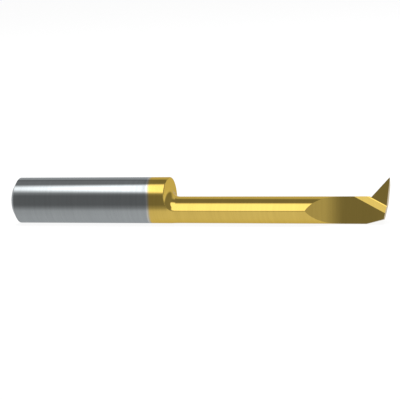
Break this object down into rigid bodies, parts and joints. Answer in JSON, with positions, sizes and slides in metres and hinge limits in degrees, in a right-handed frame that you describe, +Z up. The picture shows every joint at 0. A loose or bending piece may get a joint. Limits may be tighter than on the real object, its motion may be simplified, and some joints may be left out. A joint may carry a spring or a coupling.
{
  "type": "boring bar",
  "caption": "One-piece miniature boring bar: round ground shank, slimmer stepped neck, and a coated cutting end with chip flat, rake groove and pointed tooth.",
  "frame": {"origin": "centre of the rear face of the shank, on the shank's axis", "axes": "+X along the shank's axis towards the cutting end, +Z up as the bar lies on its round underside with the cutting point uppermost, -Y the side of the rake face, which tilts back by the small roll at which the bar comes to rest"},
  "size_m": [0.05, 0.006, 0.006],
  "materials": {
    "coated_carbide": "fine ground cemented carbide, bare grey on the shank and with a thin gold titanium nitride coating from just behind the shoulder to the point"
  },
  "bodies": {
    "root": {"boring_bar": "coated_carbide"}
  },
  "joints": []
}
